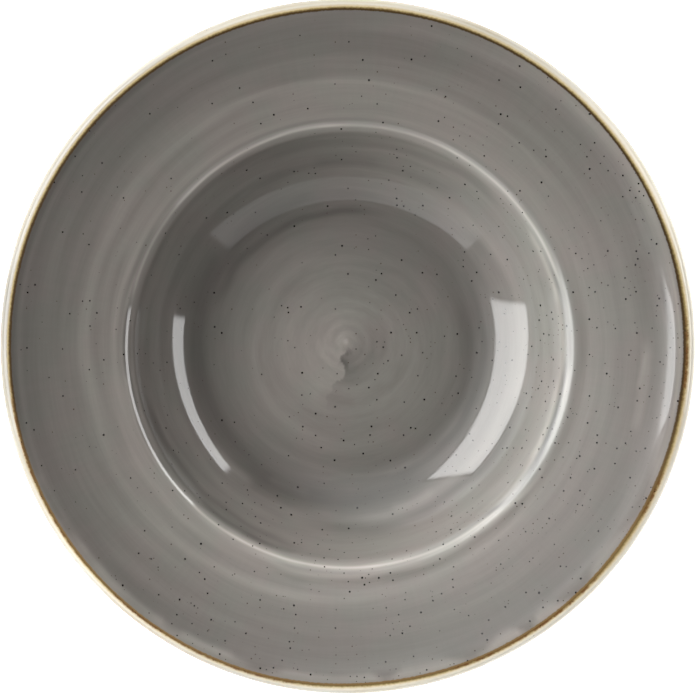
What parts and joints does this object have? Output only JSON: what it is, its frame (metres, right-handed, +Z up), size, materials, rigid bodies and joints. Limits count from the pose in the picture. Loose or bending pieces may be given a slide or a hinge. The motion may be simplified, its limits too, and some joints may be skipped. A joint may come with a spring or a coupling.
{
  "type": "rimmed soup plate",
  "caption": "Wide-rimmed stoneware soup plate with a round well, a foot ring, a speckled grey glazed face and a cream edge and back.",
  "frame": {"origin": "centre of the circle that the foot ring stands on, on the table's surface", "axes": "+Z up along the plate's axis, X and Y in the table's surface; the plate is turned, so no side is the front"},
  "size_m": [0.28, 0.28, 0.0431],
  "materials": {
    "bare_clay": "unglazed fired stoneware, fine grained and matt",
    "grey_glaze": "brushed warm grey glaze with dark iron specks, glossy",
    "brown_glaze": "glossy iron brown, breaking to ochre",
    "cream_glaze": "glossy cream glaze with sparse iron specks"
  },
  "bodies": {
    "root": {"clay_body": "bare_clay", "face_glaze": "grey_glaze", "rim_line": "brown_glaze", "edge_and_back_glaze": "cream_glaze", "recess_glaze": "cream_glaze"}
  },
  "joints": []
}
